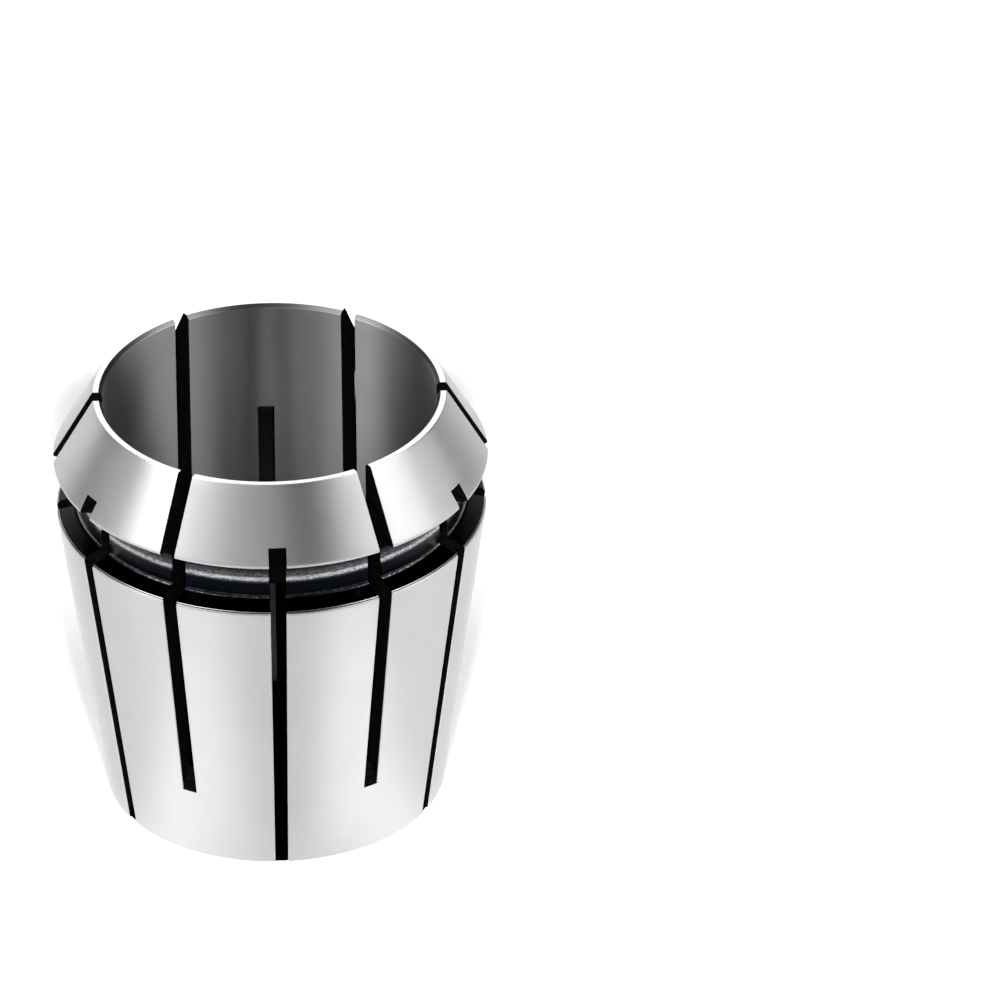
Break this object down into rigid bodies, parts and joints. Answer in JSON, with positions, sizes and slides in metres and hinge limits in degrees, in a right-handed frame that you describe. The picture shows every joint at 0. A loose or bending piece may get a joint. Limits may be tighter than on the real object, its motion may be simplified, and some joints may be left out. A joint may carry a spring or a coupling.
{
  "type": "er collet",
  "caption": "Slotted steel spring collet with a tapered body, a groove for its nut and a cone nose, which closes on a round tool shank.",
  "frame": {"origin": "on the axis, at the centre of the rear end that the collet stands on", "axes": "+Z along the axis from the rear end to the nose; -Y is the pictured front, with a rear saw cut in its middle"},
  "size_m": [0.0412, 0.0412, 0.0427],
  "materials": {
    "ground_steel": "precision ground and polished, dark in the groove and the saw cuts"
  },
  "bodies": {
    "root": {"collet": "ground_steel"}
  },
  "joints": []
}
